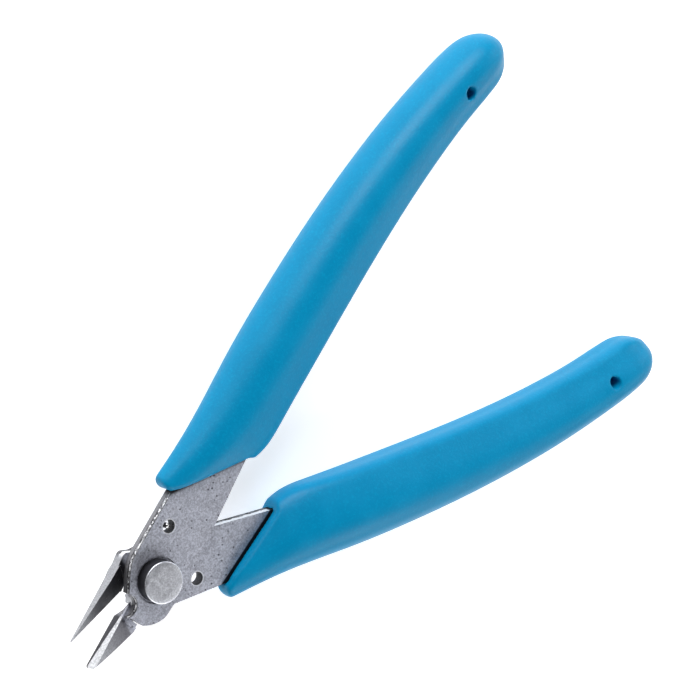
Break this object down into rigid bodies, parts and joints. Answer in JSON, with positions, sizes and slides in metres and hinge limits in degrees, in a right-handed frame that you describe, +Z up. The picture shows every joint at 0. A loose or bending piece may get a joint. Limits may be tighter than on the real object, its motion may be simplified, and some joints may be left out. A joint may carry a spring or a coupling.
{
  "type": "diagonal cutting pliers",
  "caption": "Micro diagonal cutting pliers: two flat stamped steel halves on a big rivet, raised angled jaws, hidden return spring and soft moulded grips with tether holes.",
  "frame": {"origin": "middle of the underside of the tool's box, tool lying flat with the rivet head up", "axes": "+X from the pivot along the tool to the handle ends, +Y to the side of the front half's handle, +Z up along the pivot axis through the rivet head"},
  "size_m": [0.1234, 0.0766, 0.0118],
  "materials": {
    "front_half": "bead-blasted grey steel, sheared edges, ground jaws",
    "back_half": "bead-blasted grey steel, sheared edges, ground jaws",
    "pivot_rivet": "turned and tumbled steel, smoother and lighter than the halves",
    "return_spring": "bright drawn music wire",
    "front_grip": "satin turquoise-blue soft moulding, fine grain",
    "back_grip": "satin turquoise-blue soft moulding, fine grain"
  },
  "bodies": {
    "back_side": {"back_half": "back_half", "back_grip": "back_grip", "pivot_rivet": "pivot_rivet", "return_spring": "return_spring"},
    "front_side": {"front_half": "front_half", "front_grip": "front_grip"}
  },
  "joints": [
    {"name": "jaw_pivot", "type": "hinge", "parent": "back_side", "child": "front_side", "pos_m": [-0.0438, 0, 0.00592], "axis": [0, 0, 1], "range_deg": [-16.26, 0], "stiffness_Nm_per_rad": 1, "deforming": ["return_spring"]}
  ]
}
